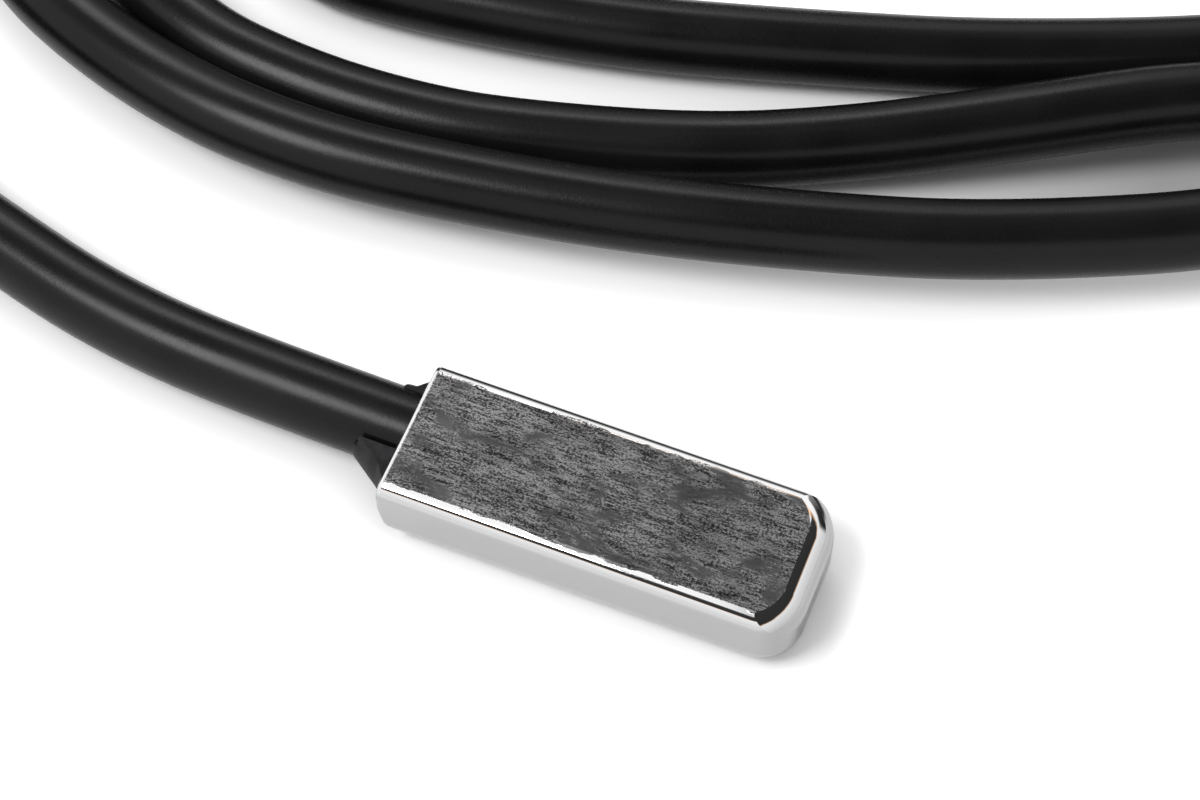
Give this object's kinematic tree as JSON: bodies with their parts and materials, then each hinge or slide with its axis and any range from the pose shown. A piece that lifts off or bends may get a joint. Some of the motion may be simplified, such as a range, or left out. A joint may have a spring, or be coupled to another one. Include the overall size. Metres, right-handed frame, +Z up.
{
  "type": "digital temperature sensor",
  "caption": "Flat metal-cased temperature probe, resin-potted round a chip on a black cable; the cable lies coiled and ends in a modular plug.",
  "frame": {"origin": "middle of the metal case's flat underside, on the surface it lies on", "axes": "+X along the case towards its closed end, +Y across it, +Z up, away from the surface"},
  "size_m": [0.1165, 0.1004, 0.0105],
  "materials": {
    "case_metal": "bright plated with a fine grain on the flat faces",
    "resin": "cured potting resin",
    "chip_plastic": "moulded",
    "tinned_metal": "tinned",
    "sleeve": "shrunk sleeve",
    "core_red": "insulation",
    "core_yellow": "insulation",
    "core_black": "insulation",
    "copper": "bare copper strands",
    "jacket": "satin cable jacket",
    "plug_plastic": "clear moulding",
    "gold_contact": "gold flash"
  },
  "bodies": {
    "root": {"probe_case": "case_metal", "potting_resin": "resin", "sensor_chip": "chip_plastic", "cable_lead": "jacket", "cable_coil": "jacket", "cable_tail": "jacket", "plug_body": "plug_plastic", "sensor_leg_power": "tinned_metal", "solder_sleeve_power": "sleeve", "core_insulation_power": "core_red", "core_conductor_power": "copper", "plug_core_power": "core_red", "sensor_leg_data": "tinned_metal", "solder_sleeve_data": "sleeve", "core_insulation_data": "core_yellow", "core_conductor_data": "copper", "plug_core_data": "core_yellow", "sensor_leg_ground": "tinned_metal", "solder_sleeve_ground": "sleeve", "core_insulation_ground": "core_black", "core_conductor_ground": "copper", "plug_core_ground": "core_black", "plug_contact_1": "gold_contact", "plug_contact_2": "gold_contact", "plug_contact_3": "gold_contact", "plug_contact_4": "gold_contact", "plug_contact_5": "gold_contact", "plug_contact_6": "gold_contact", "plug_contact_7": "gold_contact", "plug_contact_8": "gold_contact"}
  },
  "joints": []
}
